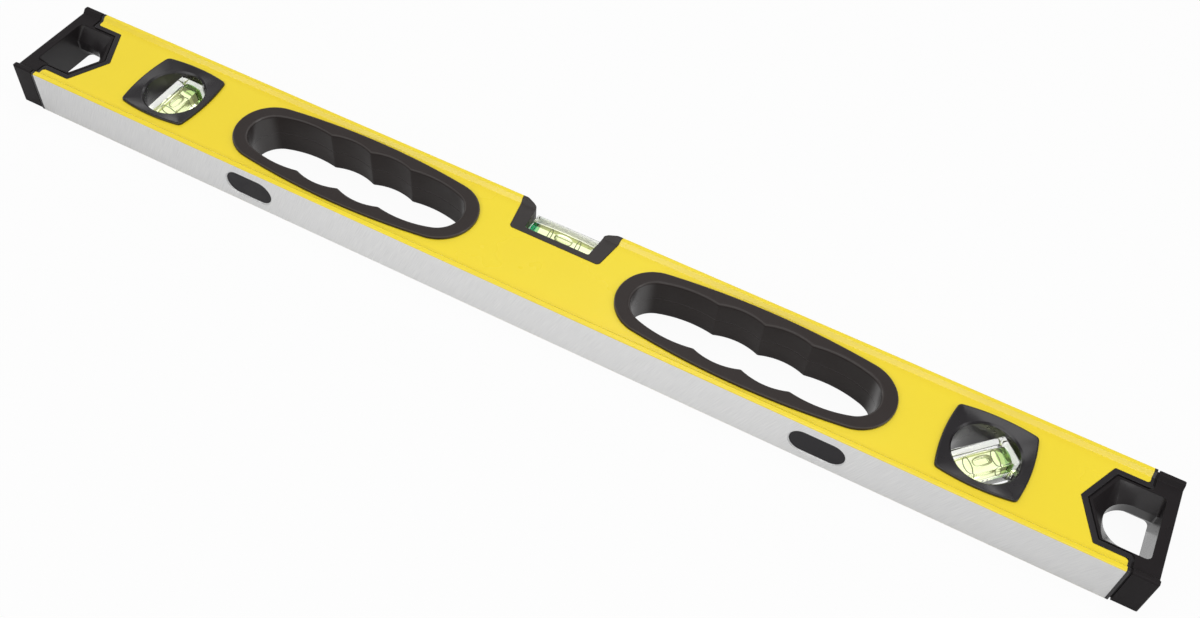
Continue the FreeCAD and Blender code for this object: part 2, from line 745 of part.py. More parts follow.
def build_vial(kind, block_length, spacing_alias, lift):
    """A block vial: a clear block bored from one end, its plug, spirit, two rings and the bubble.

    The bore may lie nearer to one side of its block, by the lift."""
    place = place_vial(kind, lift)
    half_block = block_length / 2
    half_width = size("block_width") / 2
    half_thick = size("block_thickness") / 2
    bore = size("bore_radius")
    film = size("film_gap")
    bore_start = -half_block + size("block_end_wall")
    bore_end = half_block - size("plug_thickness")

    block = new_body("%s_vial_block" % kind)
    outside = box_outline(-half_width - lift, half_width - lift, -half_thick, half_thick, 0)
    pad(block, sketch_on(block, "YZ_Plane", -half_block, outside), block_length)
    round_edges(block, lambda edge: True, "Sizes.block_bevel", "PartDesign::Chamfer")
    pocket(block, sketch_on(block, "YZ_Plane", half_block, circle(0, 0, bore)), half_block - bore_start)
    block.Placement = place

    plug = new_body("%s_vial_plug" % kind)
    pad(plug, sketch_on(plug, "YZ_Plane", bore_end, circle(0, 0, bore)), "Sizes.plug_thickness")
    plug.Placement = place

    ring_outer = bore - film
    ring_inner = ring_outer - size("ring_thickness")
    width = size("ring_width")
    places = {}
    for name, way in (("low", -1), ("high", 1)):
        places[name] = way * size(spacing_alias) / 2 - width / 2
        ring = new_body("%s_vial_ring_%s" % (kind, name))
        band = circle(0, 0, ring_outer) + circle(0, 0, ring_inner)
        pad(ring, sketch_on(ring, "YZ_Plane", places[name], band), "Sizes.ring_width")
        ring.Placement = place

    spirit = new_body("%s_vial_spirit" % kind)
    pad(spirit, sketch_on(spirit, "YZ_Plane", bore_start + film, circle(0, 0, bore - film)),
        bore_end - bore_start - 2 * film)
    for name in places:
        band = circle(0, 0, bore + film) + circle(0, 0, ring_inner - film)
        pocket(spirit, sketch_on(spirit, "YZ_Plane", places[name] + width + film, band), width + 2 * film)
    run = size("bubble_length") / 2 + size("bubble_travel") + size("bubble_gap")
    channel_radius = size("bubble_radius") + size("bubble_gap")
    lift = ring_inner - size("bubble_wall") - channel_radius
    carve_capsule(spirit, channel_radius, run, lift, cut=True)
    spirit.Placement = place

    bubble = new_body("%s_vial_bubble" % kind)
    carve_capsule(bubble, size("bubble_radius"), size("bubble_length") / 2, lift, cut=False)
    bubble.Placement = place


def carve_capsule(body, radius, reach, lift, cut):
    """Revolves a round-ended bar of this radius and half length about a line lifted above the X axis."""
    run = reach - radius
    left = Vector(-reach, lift, 0)
    right = Vector(reach, lift, 0)
    crown = radius * math.sqrt(0.5)
    outline = [
        Part.LineSegment(left, right),
        Part.Arc(right, Vector(run + crown, lift + crown, 0), Vector(run, lift + radius, 0)),
        Part.LineSegment(Vector(run, lift + radius, 0), Vector(-run, lift + radius, 0)),
        Part.Arc(Vector(-run, lift + radius, 0), Vector(-run - crown, lift + crown, 0), left),
    ]
    sketch = sketch_on(body, "XZ_Plane", 0, outline)
    kind = "PartDesign::Groove" if cut else "PartDesign::Revolution"
    doc.recompute()
    before = body.Shape.Volume if cut else 0
    feature = body.newObject(kind, "%s_capsule" % body.Label)
    feature.Profile = sketch
    feature.ReferenceAxis = (sketch, ["Edge1"])
    feature.Angle = 360
    doc.recompute()
    if cut and body.Shape.Volume > before - 1e-6:
        raise RuntimeError("%s cut nothing" % feature.Label)


def build_holder():
    """Holder of the centre vial: it fills the notch in the top edge, with a lip on each face of the vial."""
    body = new_body("centre_vial_holder")
    bottom = half_height - size("holder_depth")
    high = holder_top_half
    recess = size("face_recess") - size("holder_proud")
    crest = size("crest_width")
    slope = size("slope_width")
    top = half_height
    section = rounded_outline([
        (bottom, recess, 0),
        (top - crest - slope, recess, 0),
        (top - crest, 0, 0),
        (top, 0, size("beam_edge_radius")),
        (top, thickness, size("beam_edge_radius")),
        (top - crest, thickness, 0),
        (top - crest - slope, thickness - recess, 0),
        (bottom, thickness - recess, 0),
    ])
    pad(body, sketch_on(body, "YZ_Plane", -high, section), 2 * high)
    around = box_outline(-high - past, high + past, bottom - past, top + 2 * past, 0)
    pocket(body, sketch_on(body, "XY_Plane", thickness, around + holder_outline(0)), "Sizes.beam_thickness")
    clear = size("holder_block_gap")
    half_block = centre_well_half
    mouth = holder_mouth_half
    lip = bottom + size("holder_lip")
    shoulder = holder_shoulder_half
    drop = top - size("holder_shoulder_drop")
    outside = top + past
    rise = (outside - drop) * (shoulder - mouth) / (top - drop)
    corner = size("holder_mouth_corner")
    opening = rounded_outline([
        (-half_block, lip, corner),
        (half_block, lip, corner),
        (mouth, drop, corner),
        (mouth + rise, outside, 0),
        (-mouth - rise, outside, 0),
        (-mouth, drop, corner),
    ])
    pocket(body, sketch_on(body, "XY_Plane", thickness, opening), "Sizes.beam_thickness")
    half_thick = size("block_thickness") / 2 + clear
    floor = bottom + size("holder_floor")
    well = box_outline(-half_block, half_block, mid - half_thick, mid + half_thick, 0)
    pocket(body, sketch_on(body, "XZ_Plane", -outside, well), outside - floor, reverse=True)


def build_magnet(side, name):
    """A magnet in the milled base and the steel keeper behind it."""
    centre = side * magnet_place
    magnet = new_body("%s_magnet" % name)
    face = half_height - size("magnet_recess")
    outline = slot_outline(centre, mid, size("magnet_length"), size("magnet_width"))
    pad(magnet, sketch_on(magnet, "XZ_Plane", face, outline), face + hollow_low, reverse=True)
    keeper = new_body("%s_magnet_keeper" % name)
    half_plate = size("magnet_length") / 2 + size("keeper_end_margin")
    half_width = size("magnet_width") / 2 + size("keeper_side_margin")
    plate = box_outline(centre - half_plate, centre + half_plate, mid - half_width, mid + half_width,
                        size("hollow_radius"))
    pad(keeper, sketch_on(keeper, "XZ_Plane", -hollow_low, plate), "Sizes.keeper_thickness", reverse=True)


# Side of the level and turn of the vial's axis, in degrees, for each window
WINDOWS = {"left": (-1, 90), "right": (1, 45)}

build_beam()
for name, (side, turn) in WINDOWS.items():
    build_sleeve(side, "%s_end_sleeve" % name)
    build_bumper(side, "%s_end_bumper" % name)
    build_grip_half(side, 1, "%s_grip_front" % name)
    build_grip_half(side, -1, "%s_grip_back" % name)
    build_window_half(side, 1, "%s_window_front" % name, turn)
    build_window_half(side, -1, "%s_window_back" % name, turn)
    build_vial(name, window_block_length, "window_ring_spacing", 0)
    build_magnet(side, name)
build_holder()
build_vial("centre", size("centre_block_length"), "centre_ring_spacing", size("centre_bore_lift"))

# Every feature has to compute before anything is written
doc.recompute()
for item in doc.Objects:
    if "Invalid" in item.State or "Error" in item.State:
        raise RuntimeError("%s did not compute: %s" % (item.Label, item.State))
for body in sub_parts:
    shape = body.Shape
    if shape.isNull() or not shape.isValid():
        raise RuntimeError("%s has no valid shape" % body.Label)
for body in sub_parts:
    body.Shape.exportStep("parts/%s.step" % body.Label)
    box = body.Shape.BoundBox
    print("%-26s volume %10.2f  solids %d  x %8.2f %8.2f  y %7.2f %7.2f  z %6.2f %6.2f" % (
        body.Label, body.Shape.Volume, len(body.Shape.Solids), box.XMin, box.XMax, box.YMin, box.YMax,
        box.ZMin, box.ZMax))
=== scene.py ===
# %% [markdown]
# # A magnetic spirit level
# The level lies on its back: a painted aluminium box beam with black end caps, two hand grips, two vial
# windows and three block vials. The imported model brings every piece in metres, at its real place, so this
# lesson gives the pieces their finishes and makes the clear vials again with shapes that bend light well.

# %% Load the model
import math

import bmesh
import bpy
from mathutils import Matrix, Vector


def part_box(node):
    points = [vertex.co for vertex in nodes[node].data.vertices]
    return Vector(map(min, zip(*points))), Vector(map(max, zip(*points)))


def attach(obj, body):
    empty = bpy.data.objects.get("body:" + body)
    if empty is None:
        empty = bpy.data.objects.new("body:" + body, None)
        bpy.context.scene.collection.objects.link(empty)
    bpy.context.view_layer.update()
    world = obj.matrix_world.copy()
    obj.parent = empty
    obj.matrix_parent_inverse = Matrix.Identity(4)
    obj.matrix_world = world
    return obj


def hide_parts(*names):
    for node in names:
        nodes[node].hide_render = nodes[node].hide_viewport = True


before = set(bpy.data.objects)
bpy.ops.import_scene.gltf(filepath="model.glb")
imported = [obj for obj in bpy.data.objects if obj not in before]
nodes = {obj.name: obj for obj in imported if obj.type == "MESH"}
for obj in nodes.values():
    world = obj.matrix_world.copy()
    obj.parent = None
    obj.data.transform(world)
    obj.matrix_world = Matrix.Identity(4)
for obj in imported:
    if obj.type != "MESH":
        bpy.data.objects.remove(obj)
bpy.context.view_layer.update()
MM = 0.001
scene = bpy.context.scene

# %% [markdown]
# ## Camera
# The picture was taken from above the milled edge, a little to the right, with the level rising to the
# left. A camera is placed by the direction from the object to the lens, its distance and its roll. The
# values were solved from the known 600 mm length, which is surer than turning the view by eye.

# %% Camera
VIEW_AZIMUTH = math.radians(22.587)
VIEW_ELEVATION = math.radians(51.288)
VIEW_ROLL = math.radians(6.23)
VIEW_DISTANCE = 600.81 * MM
VIEW_TARGET = Vector((33.935, -7.037, 12.0)) * MM
LENS = 38.17
SENSOR = 36.0
NEAREST_SEEN = 10 * MM

back = Vector((math.sin(VIEW_AZIMUTH) * math.cos(VIEW_ELEVATION),
               -math.cos(VIEW_AZIMUTH) * math.cos(VIEW_ELEVATION),
               math.sin(VIEW_ELEVATION)))
level_right = Vector((math.cos(VIEW_AZIMUTH), math.sin(VIEW_AZIMUTH), 0))
level_up = back.cross(level_right)
right = math.cos(VIEW_ROLL) * level_right + math.sin(VIEW_ROLL) * level_up
up = -math.sin(VIEW_ROLL) * level_right + math.cos(VIEW_ROLL) * level_up

camera_data = bpy.data.cameras.new("camera")
camera_data.sensor_fit = "HORIZONTAL"
camera_data.sensor_width = SENSOR
camera_data.lens = LENS
camera_data.clip_start = NEAREST_SEEN
camera = bpy.data.objects.new("camera", camera_data)
turn = Matrix((right, up, back)).transposed().to_4x4()
camera.matrix_world = Matrix.Translation(VIEW_TARGET + back * VIEW_DISTANCE) @ turn
scene.collection.objects.link(camera)
scene.camera = camera
print("camera at", [round(v, 4) for v in camera.matrix_world.translation])

# %% [markdown]
# ## Node helpers
# Every finish below is a small network of nodes, and these helpers keep the networks readable. One makes a
# material with its Principled shader and one fills or links a socket. The others each add one node:
# arithmetic, a soft range, a colour between two, noise and a bump. Writing out every node and link in each
# finish would work too, but the shape of the network would drown in it.

# %% Helpers for materials
scene.view_settings.view_transform = "Standard"


def new_material(name, **values):
    """A material with a Principled shader, its constants set on the shader's own sockets."""
    material = bpy.data.materials.new(name)
    material.use_nodes = True
    shader = material.node_tree.nodes["Principled BSDF"]
    for label, value in values.items():
        shader.inputs[label.replace("_", " ")].default_value = value
    return material, material.node_tree, shader


def feed(tree, socket, value):
    """Links a socket to an input, or writes a plain number or colour into it."""
    if isinstance(value, bpy.types.NodeSocket):
        tree.links.new(value, socket)
    else:
        socket.default_value = value


def arithmetic(tree, operation, first, second=0.0):
    """One Math node."""
    node = tree.nodes.new("ShaderNodeMath")
    node.operation = operation
    feed(tree, node.inputs[0], first)
    feed(tree, node.inputs[1], second)
    return node.outputs[0]


def ramp(tree, value, low, high, to_low=0.0, to_high=1.0):
    """Maps a value from low..high to to_low..to_high, with soft ends."""
    node = tree.nodes.new("ShaderNodeMapRange")
    node.interpolation_type = "SMOOTHSTEP"
    feed(tree, node.inputs["Value"], value)
    feed(tree, node.inputs["From Min"], low)
    feed(tree, node.inputs["From Max"], high)
    feed(tree, node.inputs["To Min"], to_low)
    feed(tree, node.inputs["To Max"], to_high)
    return node.outputs["Result"]


def mix_colours(tree, factor, first, second):
    """A colour between two, by a mask."""
    node = tree.nodes.new("ShaderNodeMix")
    node.data_type = "RGBA"
    feed(tree, node.inputs["Factor"], factor)
    feed(tree, node.inputs["A"], first)
    feed(tree, node.inputs["B"], second)
    return node.outputs["Result"]


def noise(tree, position, scale, detail):
    """Noise with this many features to a metre."""
    node = tree.nodes.new("ShaderNodeTexNoise")
    node.inputs["Detail"].default_value = detail
    feed(tree, node.inputs["Vector"], position)
    feed(tree, node.inputs["Scale"], scale)
    return node.outputs["Fac"]


def bump(tree, height, strength, distance, normal=None):
    """A bump of this many metres on a surface."""
    node = tree.nodes.new("ShaderNodeBump")
    node.inputs["Strength"].default_value = strength
    node.inputs["Distance"].default_value = distance
    feed(tree, node.inputs["Height"], height)
    if normal is not None:
        feed(tree, node.inputs["Normal"], normal)
    return node.outputs["Normal"]


print("view transform", scene.view_settings.view_transform)

# %% [markdown]
# ## Shared effects
# Paint, rubber and plastic all need a fine grain, larger patches where hands and dust dull them, and
# edges that catch the light as if they were slightly rounded. Each effect is a node group with named
# inputs, built once, so that each finish only chooses its own sizes. Sizes are given in millimetres.

# %% Grain group
PATCH_CONTRAST = (0.3, 0.7)


def new_group(name, inputs, outputs):
    """An empty shader group with named inputs and outputs."""
    group = bpy.data.node_groups.new(name, "ShaderNodeTree")
    for label, kind, value in inputs:
        socket = group.interface.new_socket(name=label, in_out="INPUT", socket_type=kind)
        if value is not None:
            socket.default_value = value
    for label, kind in outputs:
        group.interface.new_socket(name=label, in_out="OUTPUT", socket_type=kind)
    return group, group.nodes.new("NodeGroupInput").outputs, group.nodes.new("NodeGroupOutput").inputs


def build_grain():
    """Fine grain for bumps, and wide soft patches for roughness and colour."""
    group, given, result = new_group(
        "surface_grain",
        [("Position", "NodeSocketVector", None), ("Grain", "NodeSocketFloat", 0.5),
         ("Patch", "NodeSocketFloat", 40.0)],
        [("Height", "NodeSocketFloat"), ("Patches", "NodeSocketFloat")])
    fine = arithmetic(group, "DIVIDE", 1 / MM, given["Grain"])
    wide = arithmetic(group, "DIVIDE", 1 / MM, given["Patch"])
    feed(group, result["Height"], noise(group, given["Position"], fine, detail=2.0))
    patches = noise(group, given["Position"], wide, detail=4.0)
    feed(group, result["Patches"], ramp(group, patches, *PATCH_CONTRAST))
    return group


GRAIN = build_grain()
print("group", GRAIN.name)

# %% Edge group
EDGE_SAMPLES = 6
EDGE_AGREEMENT = (0.82, 0.99)


def build_edges():
    """Normals rounded over each edge, and a mask that is one on the edges."""
    group, given, result = new_group(
        "softened_edges",
        [("Radius", "NodeSocketFloat", 0.4)],
        [("Normal", "NodeSocketVector"), ("Edge", "NodeSocketFloat")])
    bevel = group.nodes.new("ShaderNodeBevel")
    bevel.samples = EDGE_SAMPLES
    feed(group, bevel.inputs["Radius"], arithmetic(group, "MULTIPLY", given["Radius"], MM))
    surface = group.nodes.new("ShaderNodeNewGeometry")
    agree = group.nodes.new("ShaderNodeVectorMath")
    agree.operation = "DOT_PRODUCT"
    feed(group, agree.inputs[0], bevel.outputs["Normal"])
    feed(group, agree.inputs[1], surface.outputs["Normal"])
    feed(group, result["Normal"], bevel.outputs["Normal"])
    feed(group, result["Edge"], ramp(group, agree.outputs["Value"], *EDGE_AGREEMENT, 1.0, 0.0))
    return group


EDGES = build_edges()
print("group", EDGES.name)

# %% Stroke group
STROKE_CONTRAST = (0.35, 0.65)


def build_strokes():
    """Fine straight tool marks that run across the milled base at a slant."""
    group, given, result = new_group(
        "milling_strokes",
        [("Position", "NodeSocketVector", None), ("Width", "NodeSocketFloat", 0.22),
         ("Length", "NodeSocketFloat", 12.0), ("Slant", "NodeSocketFloat", -0.42)],
        [("Height", "NodeSocketFloat"), ("Shade", "NodeSocketFloat")])
    spin = group.nodes.new("ShaderNodeVectorRotate")
    spin.rotation_type = "Y_AXIS"
    feed(group, spin.inputs["Vector"], given["Position"])
    feed(group, spin.inputs["Angle"], given["Slant"])
    split = group.nodes.new("ShaderNodeSeparateXYZ")
    feed(group, split.inputs["Vector"], spin.outputs["Vector"])
    join = group.nodes.new("ShaderNodeCombineXYZ")
    width = arithmetic(group, "MULTIPLY", given["Width"], MM)
    length = arithmetic(group, "MULTIPLY", given["Length"], MM)
    feed(group, join.inputs["X"], arithmetic(group, "DIVIDE", split.outputs["X"], width))
    feed(group, join.inputs["Z"], arithmetic(group, "DIVIDE", split.outputs["Z"], length))
    strokes = noise(group, join.outputs["Vector"], 1.0, detail=3.0)
    feed(group, result["Height"], strokes)
    feed(group, result["Shade"], ramp(group, strokes, *STROKE_CONTRAST))
    return group


STROKES = build_strokes()
print("group", STROKES.name)


# %% Placing a group
def within(tree, value, low, high):
    """One where a value lies between two others."""
    return arithmetic(tree, "MULTIPLY", arithmetic(tree, "GREATER_THAN", value, low),
                      arithmetic(tree, "LESS_THAN", value, high))


def use_group(tree, group, **values):
    """Places a group in a material with its own values."""
    node = tree.nodes.new("ShaderNodeGroup")
    node.node_tree = group
    for label, value in values.items():
        feed(tree, node.inputs[label], value)
    return node.outputs


def object_position(tree):
    """Object coordinates, which stay with the piece."""
    return tree.nodes.new("ShaderNodeTexCoord").outputs["Object"]


def split_vector(tree, vector):
    """The X, Y and Z of a vector."""
    split = tree.nodes.new("ShaderNodeSeparateXYZ")
    feed(tree, split.inputs["Vector"], vector)
    return split.outputs


print("groups in all", len(bpy.data.node_groups))

# %% [markdown]
# ## Yellow powder coat and the milled base
# The beam is an extrusion coated in glossy yellow, then milled along one edge, which leaves bare metal
# with slanted tool marks there and round each magnet. One material covers both: a mask by height
# finds what the cutter touched. Painting a second object over the base would double the surface.

# %% Beam finish
YELLOW = (0.925, 0.735, 0.030, 1)
YELLOW_DEEP = (0.905, 0.700, 0.022, 1)
BARE = (0.89, 0.89, 0.885, 1)
BARE_DARK = (0.82, 0.82, 0.82, 1)
PAINT_ROUGH = (0.26, 0.34)
METAL_ROUGH = (0.50, 0.40)
PAINT_COAT = 0.35
BARE_METALLIC = 0.75
BARE_BAND = 0.10 * MM
BARE_BLUR = 0.03 * MM
BARE_WAVER = 0.04 * MM
RELIEF_STRENGTH = 0.30
RELIEF_DEPTH = 0.02 * MM
MAGNET_RIM = 1.0 * MM
POCKET_DEPTH = 3.5 * MM
MILLED_HEIGHT = nodes["beam"].bound_box[0][1] + BARE_BAND
magnet_low, magnet_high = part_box("right_magnet")
MAGNET_PLACE = (magnet_low.x + magnet_high.x) / 2
MAGNET_REACH = (magnet_high.x - magnet_low.x) / 2 + MAGNET_RIM


def bare_mask(tree, place, patches):
    """One where the cutter took the paint off: along the base, and in the pockets of the magnets."""
    height = arithmetic(tree, "ADD", place["Y"], arithmetic(tree, "MULTIPLY", patches, BARE_WAVER))
    milled = ramp(tree, height, MILLED_HEIGHT - BARE_BLUR, MILLED_HEIGHT + BARE_BLUR, 1.0, 0.0)
    along = arithmetic(tree, "ABSOLUTE", place["X"])
    from_magnet = arithmetic(tree, "ABSOLUTE", arithmetic(tree, "SUBTRACT", along, MAGNET_PLACE))
    near = arithmetic(tree, "LESS_THAN", from_magnet, MAGNET_REACH)
    deep = arithmetic(tree, "LESS_THAN", place["Y"], MILLED_HEIGHT + POCKET_DEPTH)
    level = within(tree, place["Z"], magnet_low.z - MAGNET_RIM, magnet_high.z + MAGNET_RIM)
    inside = arithmetic(tree, "MULTIPLY", arithmetic(tree, "MULTIPLY", near, deep), level)
    return arithmetic(tree, "MAXIMUM", milled, inside)


def build_beam_finish():
    """Powder coat with bare metal where the beam was milled."""
    material, tree, shader = new_material("yellow_powder_coat", Coat_Roughness=0.12, IOR=1.5)
    position = object_position(tree)
    grain = use_group(tree, GRAIN, Position=position, Grain=0.9, Patch=70.0)
    edges = use_group(tree, EDGES, Radius=0.35)
    strokes = use_group(tree, STROKES, Position=position)
    bare = bare_mask(tree, split_vector(tree, position), grain["Patches"])
    paint = mix_colours(tree, grain["Patches"], YELLOW, YELLOW_DEEP)
    metal = mix_colours(tree, strokes["Shade"], BARE_DARK, BARE)
    feed(tree, shader.inputs["Base Color"], mix_colours(tree, bare, paint, metal))
    feed(tree, shader.inputs["Metallic"], arithmetic(tree, "MULTIPLY", bare, BARE_METALLIC))
    rough = tree.nodes.new("ShaderNodeMix")
    feed(tree, rough.inputs["Factor"], bare)
    feed(tree, rough.inputs["A"], ramp(tree, grain["Patches"], 0.0, 1.0, *PAINT_ROUGH))
    feed(tree, rough.inputs["B"], ramp(tree, strokes["Shade"], 0.0, 1.0, *METAL_ROUGH))
    feed(tree, shader.inputs["Roughness"], rough.outputs["Result"])
    feed(tree, shader.inputs["Coat Weight"], ramp(tree, bare, 0.0, 1.0, PAINT_COAT, 0.0))
    peel = arithmetic(tree, "MULTIPLY", grain["Height"], arithmetic(tree, "SUBTRACT", 1.0, bare))
    marks = arithmetic(tree, "MULTIPLY", strokes["Height"], bare)
    relief = arithmetic(tree, "ADD", peel, marks)
    feed(tree, shader.inputs["Normal"], bump(tree, relief, RELIEF_STRENGTH, RELIEF_DEPTH, edges["Normal"]))
    return material


beam_finish = build_beam_finish()
print("in mm: bare below", round(MILLED_HEIGHT / MM, 2), "magnets at", round(MAGNET_PLACE / MM, 1))

# %% [markdown]
# ## Black mouldings
# The grips and bumpers are soft rubber with a dull, slightly dusty skin. The sleeves, windows and the
# centre holder are hard plastic with a satin skin that reflects the lamps in bands. Both get a moulded
# grain, patches of uneven gloss, and edges a little paler and smoother, where they are handled. The paler
# colour there is partly wear and partly a painted highlight.
# Two masks add what the photo shows and the lamps alone don't give. By the surface's direction, the round
# lip of a grip is painted paler as a highlight, and its walls that face along the level get a coat. By
# place, the funnels of the hanging holes are polished. More lamps would have lit the whole level instead.

# %% Masks for the black finishes
# Where a grip's round lip gets its painted highlight: the lean of the surface where it begins and fades.
LIP_BEGINS = (0.30, 0.62)
LIP_FADES = (0.88, 0.98)
FACING_ALONG = (0.45, 0.80)
FUNNEL_HALF_WIDTH = 20.6 * MM
FUNNEL_HEIGHTS = (2.4 * MM, 22.4 * MM)
FUNNEL_PLACES = (273.0 * MM, 295.0 * MM)


def lean_masks(tree, lip):
    """Round edges between a broad face and a wall, for a painted highlight, and walls that face along the
    level.
    """
    lean = split_vector(tree, tree.nodes.new("ShaderNodeNewGeometry").outputs["Normal"])
    upward = arithmetic(tree, "ABSOLUTE", lean["Z"])
    # The round lip: a painted highlight, pale where the surface leans between face and wall.
    rounded = arithmetic(tree, "MULTIPLY", ramp(tree, upward, *LIP_BEGINS),
                         ramp(tree, upward, *LIP_FADES, lip, 0.0))
    sideways = ramp(tree, arithmetic(tree, "ABSOLUTE", lean["X"]), *FACING_ALONG)
    return rounded, sideways


def funnel_mask(tree, position):
    """One in a box round the funnel of each hanging hole."""
    place = split_vector(tree, position)
    inside = arithmetic(tree, "MULTIPLY",
                        within(tree, place["Y"], -FUNNEL_HALF_WIDTH, FUNNEL_HALF_WIDTH),
                        within(tree, place["Z"], *FUNNEL_HEIGHTS))
    along = arithmetic(tree, "ABSOLUTE", place["X"])
    return arithmetic(tree, "MULTIPLY", inside, within(tree, along, *FUNNEL_PLACES))


print("funnels between", [round(v / MM) for v in FUNNEL_PLACES], "mm along the level")

# %% Black finishes
BLACK_PATCH = 22.0
# Share of the pale edge colour, part wear and part painted highlight, in the patches.
WEAR_AND_SHEEN_IN_PATCHES = (0.25, 0.7)
ROUGHNESS_SPREAD = 0.05
RUBBED_SMOOTHER = 0.10
COAT_IN_PATCHES = 0.6
SKIN_BUMP = 0.5


def build_black(name, colour, wear_and_sheen_colour, rough, grain_size, depth, edge_radius, shine, coat=0.0, polish=0.0,
                lip=0.0):
    """A moulded black skin with grain, uneven gloss and pale edges. Sizes are in millimetres.

    Polish is the extra coat in the funnels. The pale edges are partly handled wear and partly a painted
    highlight. The lip is how strongly a round edge is painted pale as a highlight, and a skin with a lip
    also gets a coat on the walls that face along the level."""
    material, tree, shader = new_material(name, Coat_Roughness=0.25, IOR=1.5, Specular_IOR_Level=shine)
    position = object_position(tree)
    grain = use_group(tree, GRAIN, Position=position, Grain=grain_size, Patch=BLACK_PATCH)
    edges = use_group(tree, EDGES, Radius=edge_radius)
    wear_and_sheen_share = ramp(tree, grain["Patches"], 0.0, 1.0, *WEAR_AND_SHEEN_IN_PATCHES)
    wear_and_sheen = arithmetic(tree, "MULTIPLY", edges["Edge"], wear_and_sheen_share)
    gloss = ramp(tree, grain["Patches"], 0.0, 1.0, coat, coat * COAT_IN_PATCHES)
    if lip > 0:
        rounded, sideways = lean_masks(tree, lip)
        wear_and_sheen = arithmetic(tree, "MAXIMUM", wear_and_sheen, rounded)
        gloss = arithmetic(tree, "ADD", gloss, sideways)
    if polish > 0:
        polished = arithmetic(tree, "MULTIPLY", funnel_mask(tree, position), polish)
        gloss = arithmetic(tree, "ADD", gloss, polished)
    # Pale edges and lip: partly handled wear, partly a painted highlight.
    feed(tree, shader.inputs["Base Color"], mix_colours(tree, wear_and_sheen, colour, wear_and_sheen_colour))
    uneven = ramp(tree, grain["Patches"], 0.0, 1.0, rough - ROUGHNESS_SPREAD, rough + ROUGHNESS_SPREAD)
    smoother = arithmetic(tree, "MULTIPLY", wear_and_sheen, RUBBED_SMOOTHER)
    feed(tree, shader.inputs["Roughness"], arithmetic(tree, "SUBTRACT", uneven, smoother))
    feed(tree, shader.inputs["Coat Weight"], gloss)
    feed(tree, shader.inputs["Normal"], bump(tree, grain["Height"], SKIN_BUMP, depth * MM, edges["Normal"]))
    return material


# On the grip the pale colour also paints a highlight on the round lip.
grip_finish = build_black(
    "grip_rubber", colour=(0.029, 0.0225, 0.0210, 1), wear_and_sheen_colour=(0.078, 0.069, 0.066, 1),
    rough=0.42, grain_size=0.55, depth=0.03, edge_radius=0.60, shine=0.22, lip=0.60)
bumper_finish = build_black(
    "bumper_rubber", colour=(0.017, 0.0145, 0.0155, 1), wear_and_sheen_colour=(0.034, 0.031, 0.032, 1),
    rough=0.40, grain_size=0.45, depth=0.02, edge_radius=0.35, shine=0.10, polish=0.9)
plastic_finish = build_black(
    "satin_plastic", colour=(0.013, 0.011, 0.013, 1), wear_and_sheen_colour=(0.032, 0.029, 0.031, 1),
    rough=0.27, grain_size=0.35, depth=0.010, edge_radius=0.25, shine=0.5, coat=0.10)
# On the holder the pale colour also paints a highlight along its edges.
holder_finish = build_black(
    "holder_plastic", colour=(0.027, 0.022, 0.021, 1), wear_and_sheen_colour=(0.075, 0.067, 0.063, 1),
    rough=0.42, grain_size=0.45, depth=0.015, edge_radius=0.60, shine=0.45)
print("black", [m.name for m in (grip_finish, bumper_finish, plastic_finish, holder_finish)])

# %% [markdown]
# ## Magnets and keepers
# The magnets are dark sintered blocks ground flat, with a fine dusty grain and greyer edges. The keeper
# plates behind them are plain rolled steel with a faint lengthwise brushing, made by the same stroke group
# as the milling, turned to run along the plate.

# %% Magnet and keeper finishes
FERRITE = (0.015, 0.0135, 0.016, 1)
FERRITE_DUSTY = (0.025, 0.023, 0.026, 1)
FERRITE_EDGE = (0.09, 0.09, 0.09, 1)
STEEL_DARK = (0.45, 0.45, 0.46, 1)
STEEL = (0.58, 0.58, 0.59, 1)


def build_magnet_finish():
    """Ground ferrite."""
    material, tree, shader = new_material("ground_ferrite", IOR=1.5, Specular_IOR_Level=0.2)
    grain = use_group(tree, GRAIN, Position=object_position(tree), Grain=0.3, Patch=8.0)
    edges = use_group(tree, EDGES, Radius=0.3)
    base = mix_colours(tree, grain["Patches"], FERRITE, FERRITE_DUSTY)
    feed(tree, shader.inputs["Base Color"], mix_colours(tree, edges["Edge"], base, FERRITE_EDGE))
    feed(tree, shader.inputs["Roughness"], ramp(tree, grain["Patches"], 0.0, 1.0, 0.38, 0.55))
    feed(tree, shader.inputs["Normal"], bump(tree, grain["Height"], 0.4, 0.02 * MM, edges["Normal"]))
    return material


def build_keeper_finish():
    """Rolled steel, brushed along its length."""
    material, tree, shader = new_material("keeper_steel", Metallic=1.0)
    strokes = use_group(tree, STROKES, Position=object_position(tree), Slant=math.pi / 2, Width=0.15)
    feed(tree, shader.inputs["Base Color"], mix_colours(tree, strokes["Shade"], STEEL_DARK, STEEL))
    feed(tree, shader.inputs["Roughness"], ramp(tree, strokes["Shade"], 0.0, 1.0, 0.35, 0.45))
    feed(tree, shader.inputs["Normal"], bump(tree, strokes["Height"], 0.3, 0.01 * MM))
    return material


magnet_finish = build_magnet_finish()
keeper_finish = build_keeper_finish()
print("magnet and keeper", magnet_finish.name, keeper_finish.name)

# %% [markdown]
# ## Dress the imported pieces
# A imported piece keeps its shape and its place, so all that it still needs is a finish. A list of all the
# pieces would do, but their plain names make it shorter: one word in the name chooses the finish. The
# keeper stands before the magnet, because the name of a magnet keeper holds both words.

